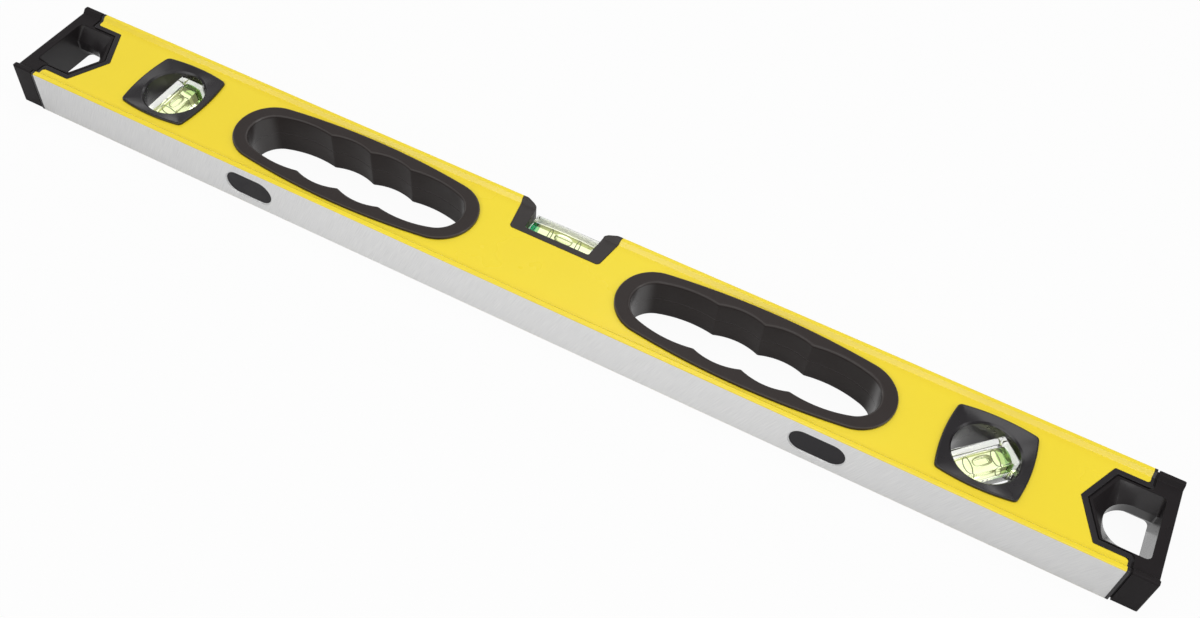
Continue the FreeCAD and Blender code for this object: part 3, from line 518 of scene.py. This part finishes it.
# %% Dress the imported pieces
finishes = {
    "beam": beam_finish,
    "grip": grip_finish,
    "bumper": bumper_finish,
    "sleeve": plastic_finish,
    "window": plastic_finish,
    "holder": holder_finish,
    "keeper": keeper_finish,
    "magnet": magnet_finish,
}
dressed = 0
for name, piece in nodes.items():
    finish = next((finishes[word] for word in finishes if word in name), None)
    if finish is not None:
        piece.data.materials.clear()
        piece.data.materials.append(finish)
        dressed += 1
print("dressed", dressed, "packed pieces")

# %% [markdown]
# ## Clear vial finishes
# A block vial is clear acrylic round a bore full of coloured spirit, with an air bubble in it. Light
# bends at each border by the ratio of the two indices, so the spirit inside the acrylic has the index
# of spirit divided by that of acrylic, and the bubble that of air divided by spirit. The spirit takes
# its colour from its depth, and the ends of the bore look deep green, because light that leaves there has
# run along the whole tube: emerald in the long centre vial, olive in the short ones. One depth tint can't
# give both, so the ends have finishes of their own.
# The dye is fluorescent: it turns blue light into green, which a faint emission stands in for.

# %% Clear finishes
ACRYLIC_INDEX = 1.49
SPIRIT_INDEX = 1.36
IN_ACRYLIC = SPIRIT_INDEX / ACRYLIC_INDEX
PLUG_INDEX = 1.01
HAZE = 0.985


def build_clear(name, colour, index, scratch=0.0):
    """A clear material that lets lamps shine through, with faint uneven polish."""
    material, tree, shader = new_material(name, Metallic=0.0, IOR=index)
    shader.inputs["Transmission Weight"].default_value = 1.0
    grain = use_group(tree, GRAIN, Position=object_position(tree), Grain=1.5, Patch=6.0)
    hazy = tuple(c * HAZE for c in colour[:3]) + (1,)
    feed(tree, shader.inputs["Base Color"], mix_colours(tree, grain["Patches"], colour, hazy))
    feed(tree, shader.inputs["Roughness"], ramp(tree, grain["Patches"], 0.0, 1.0, 0.0, scratch))
    shadow = tree.nodes.new("ShaderNodeLightPath")
    through = tree.nodes.new("ShaderNodeBsdfTransparent")
    through.inputs["Color"].default_value = colour
    blend = tree.nodes.new("ShaderNodeMixShader")
    feed(tree, blend.inputs["Fac"], shadow.outputs["Is Shadow Ray"])
    feed(tree, blend.inputs[1], shader.outputs["BSDF"])
    feed(tree, blend.inputs[2], through.outputs["BSDF"])
    feed(tree, tree.nodes["Material Output"].inputs["Surface"], blend.outputs["Shader"])
    return material


acrylic_finish = build_clear("clear_acrylic", (1.0, 1.0, 0.995, 1), ACRYLIC_INDEX, scratch=0.01)
plug_finish = build_clear("acrylic_plug", (0.95, 0.97, 0.93, 1), PLUG_INDEX)
spirit_finish = build_clear("green_spirit", (0.985, 0.995, 0.86, 1), IN_ACRYLIC)
emerald_end_finish = build_clear("green_spirit_end", (0.07, 0.58, 0.34, 1), IN_ACRYLIC)
olive_end_finish = build_clear("olive_spirit_end", (0.48, 0.72, 0.34, 1), IN_ACRYLIC)
bubble_finish = build_clear("bubble_air", (1.0, 1.0, 0.98, 1), 1 / SPIRIT_INDEX)
print("index of spirit in acrylic", round(IN_ACRYLIC, 3), "of air in spirit", round(1 / SPIRIT_INDEX, 3))

# %% Dye of the spirit
SPIRIT_GLOW = 0.16
SPIRIT_GLOW_COLOUR = (0.96, 1.0, 0.48, 1)
SPIRIT_TINT = (0.70, 0.93, 0.10, 1)
SPIRIT_DENSITY = 38.0

dye = spirit_finish.node_tree.nodes["Principled BSDF"]
dye.inputs["Emission Color"].default_value = SPIRIT_GLOW_COLOUR
dye.inputs["Emission Strength"].default_value = SPIRIT_GLOW
for finish in (spirit_finish, emerald_end_finish, olive_end_finish):
    depth_tint = finish.node_tree.nodes.new("ShaderNodeVolumeAbsorption")
    depth_tint.inputs["Color"].default_value = SPIRIT_TINT
    depth_tint.inputs["Density"].default_value = SPIRIT_DENSITY
    finish.node_tree.links.new(depth_tint.outputs["Volume"],
                               finish.node_tree.nodes["Material Output"].inputs["Volume"])
print("spirit density", SPIRIT_DENSITY, "glow", SPIRIT_GLOW)

# %% Ink of the rings
INK = (0.010, 0.020, 0.008, 1)
INK_THIN = (0.022, 0.035, 0.015, 1)


def build_ink():
    """Black ring inside the bore, slightly uneven like printed ink."""
    material, tree, shader = new_material("ring_ink", IOR=1.4)
    grain = use_group(tree, GRAIN, Position=object_position(tree), Grain=0.2, Patch=2.0)
    feed(tree, shader.inputs["Base Color"], mix_colours(tree, grain["Patches"], INK, INK_THIN))
    feed(tree, shader.inputs["Roughness"], ramp(tree, grain["Patches"], 0.0, 1.0, 0.4, 0.6))
    feed(tree, shader.inputs["Normal"], bump(tree, grain["Height"], 0.2, 0.01 * MM))
    return material


ink_finish = build_ink()
print("ink", ink_finish.name)

# %% [markdown]
# ## Vial pieces
# Each block is milled square, polished, and bored from one end. Here the block is a solid with softly
# broken edges, and the spirit is a bar inside it, a little fuller in its middle as the bore of a vial is,
# so that the bubble rises to the middle. A profile turned about the vial's axis makes the round pieces.

# %% Helpers for vial pieces
ROUND_STEPS = 96
SHARP_ANGLE = math.radians(30)
WELD_DISTANCE = 0.0005 * MM
EDGE_STEPS = 3


def finish_mesh(name, shape, place, material):
    """Writes a bmesh into a new object: merged, turned outwards, smooth but for its sharp edges."""
    bmesh.ops.remove_doubles(shape, verts=shape.verts, dist=WELD_DISTANCE)
    bmesh.ops.recalc_face_normals(shape, faces=shape.faces)
    for face in shape.faces:
        face.smooth = True
    for edge in shape.edges:
        edge.smooth = len(edge.link_faces) == 2 and edge.calc_face_angle() < SHARP_ANGLE
    shape.transform(place)
    mesh = bpy.data.meshes.new(name)
    shape.to_mesh(mesh)
    shape.free()
    mesh.materials.append(material)
    piece = bpy.data.objects.new(name, mesh)
    scene.collection.objects.link(piece)
    return piece


def turned(name, profile, place, material, lift=0.0):
    """Turns a profile of (x, radius) points in millimetres about the X axis."""
    shape = bmesh.new()
    rings = []
    for x, radius in profile:
        if radius == 0:
            rings.append([shape.verts.new((x * MM, 0, lift * MM))])
            continue
        ring = []
        for step in range(ROUND_STEPS):
            angle = 2 * math.pi * step / ROUND_STEPS
            ring.append(shape.verts.new((x * MM, radius * MM * math.cos(angle),
                                         (radius * math.sin(angle) + lift) * MM)))
        rings.append(ring)
    for first, second in zip(rings, rings[1:]):
        for step in range(ROUND_STEPS):
            following = (step + 1) % ROUND_STEPS
            if len(first) == 1:
                shape.faces.new((first[0], second[step], second[following]))
            elif len(second) == 1:
                shape.faces.new((first[step], first[following], second[0]))
            else:
                shape.faces.new((first[step], first[following], second[following], second[step]))
    return finish_mesh(name, shape, place, material)


def block_piece(name, length, width, thick, edge, place, material):
    """A clear block with softly broken edges."""
    shape = bmesh.new()
    bmesh.ops.create_cube(shape, size=1.0)
    bmesh.ops.scale(shape, vec=(length * MM, width * MM, thick * MM), verts=shape.verts)
    bmesh.ops.bevel(shape, geom=shape.edges[:], offset=edge * MM, segments=EDGE_STEPS, profile=0.5,
                    affect="EDGES")
    return finish_mesh(name, shape, place, material)


print("round pieces have", ROUND_STEPS, "steps")

# %% [markdown]
# ## Rings
# Two thin rings mark where the bubble stands when the work is level. They repeat along the bore at an
# even spacing, so Geometry Nodes make them: a flat tube section is swept round a circle, and copies
# stand on a line of two points. Changing the spacing or the number is then one input.

# %% Ring tree
RING_SIZES = {"Radius": 4.44, "Thickness": 0.11, "Width": 0.45, "Spacing": 13.5}
RING_COUNT = 2


def build_ring_tree():
    """Geometry Nodes: rings on a line along the vial's axis."""
    tree = bpy.data.node_groups.new("bore_rings", "GeometryNodeTree")
    for label, value in RING_SIZES.items():
        socket = tree.interface.new_socket(name=label, in_out="INPUT", socket_type="NodeSocketFloat")
        socket.default_value = value
    count = tree.interface.new_socket(name="Count", in_out="INPUT", socket_type="NodeSocketInt")
    count.default_value = RING_COUNT
    tree.interface.new_socket(name="Ink", in_out="INPUT", socket_type="NodeSocketMaterial")
    tree.interface.new_socket(name="Geometry", in_out="OUTPUT", socket_type="NodeSocketGeometry")
    given = tree.nodes.new("NodeGroupInput").outputs
    result = tree.nodes.new("NodeGroupOutput").inputs

    def add(kind, **inputs):
        """One node with its inputs filled or linked."""
        node = tree.nodes.new(kind)
        for label, value in inputs.items():
            feed(tree, node.inputs[label.replace("_", " ")], value)
        return node

    def times(value, factor):
        """An input multiplied by a plain number, such as millimetres turned into metres."""
        return arithmetic(tree, "MULTIPLY", value, factor)

    circle = add("GeometryNodeCurvePrimitiveCircle", Radius=times(given["Radius"], MM),
                 Resolution=ROUND_STEPS)
    section = add("GeometryNodeCurvePrimitiveQuadrilateral", Width=times(given["Width"], MM),
                  Height=times(given["Thickness"], 2 * MM))
    stand = add("GeometryNodeTransform", Geometry=circle.outputs["Curve"], Rotation=(0, math.pi / 2, 0))
    swept = add("GeometryNodeCurveToMesh", Curve=stand.outputs["Geometry"],
                Profile_Curve=section.outputs["Curve"])
    start = add("ShaderNodeCombineXYZ", X=times(given["Spacing"], -MM / 2))
    step = add("ShaderNodeCombineXYZ", X=times(given["Spacing"], MM))
    line = add("GeometryNodeMeshLine", Count=given["Count"], Start_Location=start.outputs["Vector"],
               Offset=step.outputs["Vector"])
    copies = add("GeometryNodeInstanceOnPoints", Points=line.outputs["Mesh"], Instance=swept.outputs["Mesh"])
    real = add("GeometryNodeRealizeInstances", Geometry=copies.outputs["Instances"])
    inked = add("GeometryNodeSetMaterial", Geometry=real.outputs["Geometry"], Material=given["Ink"])
    tree.links.new(inked.outputs["Geometry"], result["Geometry"])
    return tree, {socket.name: socket.identifier for socket in tree.interface.items_tree
                  if socket.in_out == "INPUT"}


RING_TREE, RING_INPUTS = build_ring_tree()


def ring_piece(name, spacing, radius, place):
    """Runs the ring tree and keeps its result as a plain mesh."""
    carrier = bpy.data.objects.new("ring_carrier", bpy.data.meshes.new("ring_carrier"))
    scene.collection.objects.link(carrier)
    modifier = carrier.modifiers.new("rings", "NODES")
    modifier.node_group = RING_TREE
    modifier[RING_INPUTS["Spacing"]] = spacing
    modifier[RING_INPUTS["Radius"]] = radius
    modifier[RING_INPUTS["Ink"]] = ink_finish
    evaluated = carrier.evaluated_get(bpy.context.evaluated_depsgraph_get())
    mesh = bpy.data.meshes.new_from_object(evaluated)
    carrier.modifiers.clear()
    bpy.data.objects.remove(carrier)
    shape = bmesh.new()
    shape.from_mesh(mesh)
    bpy.data.meshes.remove(mesh)
    return finish_mesh(name, shape, place, ink_finish)


print("ring inputs", list(RING_INPUTS))

# %% [markdown]
# ## Three vials
# The plumb vial on the left stands along Y, the one on the right leans at 45 degrees, and the centre
# vial lies along the level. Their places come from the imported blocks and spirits, as the centre bore
# lies above the middle of its block. The spirit runs closer to one end of the block than in the packed
# model, for the look of its green end. The bubble rides on its own body, because it slides along the
# bore; everything else stays with the level.

# %% Profiles and ends of the vials
BORE = 4.58
BARREL = 0.8
SPIRIT_STEPS = 24
BUBBLE_LENGTH = 9.7
BUBBLE_RADIUS = 2.8
BUBBLE_STEPS = 40
BUBBLE_BLUNTNESS = 0.86
BUBBLE_FULLNESS = 0.80
FLAT_END = 0.95


def bore_radius(x, half):
    """Radius of the bore at a place along it: full in the middle, less towards its ends."""
    return BORE - BARREL * (x / half) ** 2


def spirit_profile(start, end, half):
    """The spirit bar from end to end."""
    points = [(start, 0)]
    for step in range(SPIRIT_STEPS + 1):
        x = start + (end - start) * step / SPIRIT_STEPS
        points.append((x, bore_radius(x, half)))
    return points + [(end, 0)]


def dress_ends(piece, place, material, far_end, reach):
    """Gives the flat ends of a turned piece, and the last of its side at the far end, their own finish."""
    axis = place.to_3x3() @ Vector((1, 0, 0))
    piece.data.materials.append(material)
    last = max((face.center - place.translation).dot(axis) * far_end for face in piece.data.polygons)
    for face in piece.data.polygons:
        along = (face.center - place.translation).dot(axis) * far_end
        if abs(face.normal.dot(axis)) > FLAT_END or along > last - reach * MM:
            face.material_index = 1


def bubble_profile():
    """A bubble: a bar with round ends, slightly fuller in the middle."""
    half = BUBBLE_LENGTH / 2
    points = []
    for step in range(BUBBLE_STEPS + 1):
        angle = math.pi * step / BUBBLE_STEPS
        along = -math.cos(angle)
        x = half * math.copysign(abs(along) ** BUBBLE_BLUNTNESS, along)
        on_axis = step in (0, BUBBLE_STEPS)
        points.append((x, 0 if on_axis else BUBBLE_RADIUS * math.sin(angle) ** BUBBLE_FULLNESS))
    return points


print("bore", 2 * BORE, "mm wide in the middle, bubble", BUBBLE_LENGTH, "mm long")

# %% Build the vials
BLOCK_WIDTH = 14.4
BLOCK_THICK = 14.6
BLOCK_EDGE = 0.7
END_WALL = 0.25
PLUG = 2.0
PLUG_GAP = 0.05
PLUG_CHAMFER = 0.1
PLUG_SUNK = 0.06
SPIRIT_GAP = 0.02
RING_INSET = 0.14
BUBBLE_LIFT = 1.3
EMERALD_REACH = 2.4
OLIVE_REACH = 3.2
# Each vial's length, the space between its rings, and its turn from the level's length in degrees
VIALS = {"left": (28.6, 13.5, 90.0), "centre": (34.6, 15.0, 0.0), "right": (28.6, 13.5, 45.0)}

for side, (length, spacing, angle) in VIALS.items():
    spin = Matrix.Rotation(math.radians(angle), 4, "Z")
    low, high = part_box("%s_vial_block" % side)
    block_place = Matrix.Translation((low + high) / 2) @ spin
    low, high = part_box("%s_vial_spirit" % side)
    place = Matrix.Translation((low + high) / 2) @ spin
    half = length / 2
    block = block_piece("%s_clear_block" % side, length, BLOCK_WIDTH, BLOCK_THICK, BLOCK_EDGE, block_place,
                        acrylic_finish)
    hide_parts("%s_vial_block" % side)
    start = -half + END_WALL
    end = half - PLUG
    plug_start = end + PLUG_GAP
    plug_end = half - PLUG_SUNK
    plug = turned("%s_clear_plug" % side,
                  [(plug_start, 0), (plug_start, BORE - PLUG_CHAMFER), (plug_start + PLUG_CHAMFER, BORE),
                   (plug_end, BORE), (plug_end, 0)], place, plug_finish)
    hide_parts("%s_vial_plug" % side)
    spirit = turned("%s_green_spirit" % side, spirit_profile(start, end - SPIRIT_GAP, half), place,
                    spirit_finish)
    if side == "centre":
        dress_ends(spirit, place, emerald_end_finish, -1, EMERALD_REACH)
    else:
        dress_ends(spirit, place, olive_end_finish, 1, OLIVE_REACH)
    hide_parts("%s_vial_spirit" % side)
    rings = ring_piece("%s_ink_rings" % side, spacing, bore_radius(spacing / 2, half) - RING_INSET, place)
    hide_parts("%s_vial_ring_low" % side, "%s_vial_ring_high" % side)
    bubble = turned("%s_air_bubble" % side, bubble_profile(), place, bubble_finish, BUBBLE_LIFT)
    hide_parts("%s_vial_bubble" % side)
    for piece, slot in ((block, "clear_acrylic"), (plug, "clear_acrylic"), (spirit, "green_spirit"),
                        (rings, "ring_ink")):
        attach(piece, "level")
    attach(bubble, "%s_bubble" % side)
    print(side, "vial at", [round(v / MM, 2) for v in place.translation], "rings", len(rings.data.polygons))

# %% [markdown]
# ## Floor
# The level lies on a pale sweep that reads as white paper. Lamps bright enough to make plain paper white
# would burn out the level, so the floor glows instead. It glows by how it is seen: almost wholly for the
# eye, which leaves no more than a trace of the level's shadow, less in mirrored rays and behind glass, and
# not at all as light on the level.
# The photo's studio wasn't even, so two of the glows change by place. In front of the milled base the
# mirrored glow falls toward the level's ends. In a strip under the windows and the right end's hole it is
# full, so the walls round them catch light from below. Seen through glass, the floor is dark under and in
# front of the centre vial, which gives the grey band in it. Cards beside the level would do this in a
# studio. A glow by place reaches only the rays it is meant for, but it is tuned to this one view.

# %% Glow of the floor by place
FLOOR_GLOW = 0.95
FLOOR_GLOW_MIRRORED = 0.46
FLOOR_GLOW_IN_GLASS = 0.80
POOL_FRONT = -0.027
POOL_START = 0.06
POOL_END = 0.34
POOL_DROP = 0.38
HOLE_REACH = 0.0135
HOLE_START = 0.19
HOLE_LEFT_END = -0.25
SHADE_REACH = 0.030
SHADE_START = 0.0175
SHADE_END = 0.0225
SHADE_DEPTH = 0.80


def mirrored_glow(tree, place, along):
    """The glow in mirrored rays: less toward the ends in front of the base, full in the holes' strip."""
    in_front = arithmetic(tree, "LESS_THAN", place["Y"], POOL_FRONT)
    toward_ends = ramp(tree, along, POOL_START, POOL_END, 0.0, POOL_DROP)
    drop = arithmetic(tree, "MULTIPLY", in_front, toward_ends)
    pool = arithmetic(tree, "SUBTRACT", FLOOR_GLOW_MIRRORED, drop)
    in_strip = arithmetic(tree, "MULTIPLY", within(tree, place["Y"], -HOLE_REACH, HOLE_REACH),
                          arithmetic(tree, "GREATER_THAN", along, HOLE_START))
    in_strip = arithmetic(tree, "MULTIPLY", in_strip,
                          arithmetic(tree, "GREATER_THAN", place["X"], HOLE_LEFT_END))
    return arithmetic(tree, "MAXIMUM", pool, arithmetic(tree, "MULTIPLY", in_strip, FLOOR_GLOW))


def glow_in_glass(tree, place, along):
    """The glow behind glass: dark under and in front of the centre vial."""
    below = arithmetic(tree, "MULTIPLY", arithmetic(tree, "LESS_THAN", along, SHADE_REACH),
                       ramp(tree, place["Y"], SHADE_START, SHADE_END, SHADE_DEPTH, 0.0))
    return arithmetic(tree, "MULTIPLY", arithmetic(tree, "SUBTRACT", 1.0, below), FLOOR_GLOW_IN_GLASS)


print("glow for the eye", FLOOR_GLOW, "mirrored", FLOOR_GLOW_MIRRORED, "in glass", FLOOR_GLOW_IN_GLASS)

# %% Floor
FLOOR_SIZE = 6.0
FLOOR_PAPER = (0.65, 0.65, 0.65, 1)


def build_floor_finish():
    """White paper that glows by how it is seen."""
    material, tree, shader = new_material("white_floor", Base_Color=FLOOR_PAPER, Roughness=0.9)
    shader.inputs["Specular IOR Level"].default_value = 0.0
    place = split_vector(tree, object_position(tree))
    along = arithmetic(tree, "ABSOLUTE", place["X"])
    path = tree.nodes.new("ShaderNodeLightPath").outputs
    in_glass = path["Is Transmission Ray"]
    mirrored = arithmetic(tree, "SUBTRACT", path["Is Glossy Ray"], in_glass)
    seen = arithmetic(tree, "MULTIPLY", path["Is Camera Ray"], FLOOR_GLOW)
    for ray, share in ((mirrored, mirrored_glow(tree, place, along)),
                       (in_glass, glow_in_glass(tree, place, along))):
        seen = arithmetic(tree, "MAXIMUM", seen, arithmetic(tree, "MULTIPLY", ray, share))
    glow = tree.nodes.new("ShaderNodeEmission")
    glow.inputs["Color"].default_value = (1, 1, 1, 1)
    blend = tree.nodes.new("ShaderNodeMixShader")
    feed(tree, blend.inputs["Fac"], seen)
    feed(tree, blend.inputs[1], shader.outputs["BSDF"])
    feed(tree, blend.inputs[2], glow.outputs["Emission"])
    feed(tree, tree.nodes["Material Output"].inputs["Surface"], blend.outputs["Shader"])
    return material


def build_floor():
    """A square sheet under the level."""
    floor_mesh = bpy.data.meshes.new("floor")
    half = FLOOR_SIZE / 2
    floor_mesh.from_pydata([(-half, -half, 0), (half, -half, 0), (half, half, 0), (-half, half, 0)], [],
                           [(0, 1, 2, 3)])
    floor_mesh.materials.append(build_floor_finish())
    floor = bpy.data.objects.new("floor", floor_mesh)
    scene.collection.objects.link(floor)


build_floor()
print("floor", FLOOR_SIZE, "m square")

# %% [markdown]
# ## Lamps and surroundings
# A studio lights such a level with large soft boxes: one overhead, a long one over the front edge for the
# milled base, and weaker ones at the sides and the back for the mouldings. The world gives even light from
# all round, and is almost white where it is seen directly or through glass, so the background is white.
# One bright world alone would do for the paint, but then rubber and metal would show no bands at all.

# %% World and lamps
WORLD_LEVEL = 0.32
WORLD_SEEN = 0.975


def build_world():
    """Even light from all round, and white behind what is seen directly or through glass."""
    world = bpy.data.worlds.new("studio")
    scene.world = world
    world.use_nodes = True
    tree = world.node_tree
    background = tree.nodes["Background"]
    background.inputs["Color"].default_value = (1, 1, 1, 1)
    path = tree.nodes.new("ShaderNodeLightPath")
    seen = arithmetic(tree, "MAXIMUM", path.outputs["Is Camera Ray"], path.outputs["Is Transmission Ray"])
    feed(tree, background.inputs["Strength"], ramp(tree, seen, 0.0, 1.0, WORLD_LEVEL, WORLD_SEEN))


def add_lamp(name, place, width, height, watts, target=(0, 0, 0)):
    """A soft box aimed at a point."""
    data = bpy.data.lights.new(name, "AREA")
    data.shape = "RECTANGLE"
    data.size = width
    data.size_y = height
    data.energy = watts
    lamp = bpy.data.objects.new(name, data)
    aim = (Vector(target) - Vector(place)).to_track_quat("-Z", "Y")
    lamp.matrix_world = Matrix.Translation(Vector(place)) @ aim.to_matrix().to_4x4()
    scene.collection.objects.link(lamp)


build_world()
add_lamp("overhead_box", place=(0.10, 0.10, 1.40), width=1.8, height=0.9, watts=9.2)
add_lamp("front_box", place=(-0.25, -1.15, 0.84), width=1.8, height=0.5, watts=7.0)
add_lamp("right_box", place=(1.25, 0.10, 0.85), width=0.5, height=1.0, watts=4.0, target=(0.1, 0, 0))
add_lamp("left_strip", place=(-1.30, 0.25, 0.60), width=0.4, height=0.8, watts=2.0)
add_lamp("back_box", place=(-0.30, 1.30, 0.60), width=2.0, height=0.30, watts=3.4)
print("lamps", len(bpy.data.lights), "watts in all", round(sum(lamp.energy for lamp in bpy.data.lights), 1))
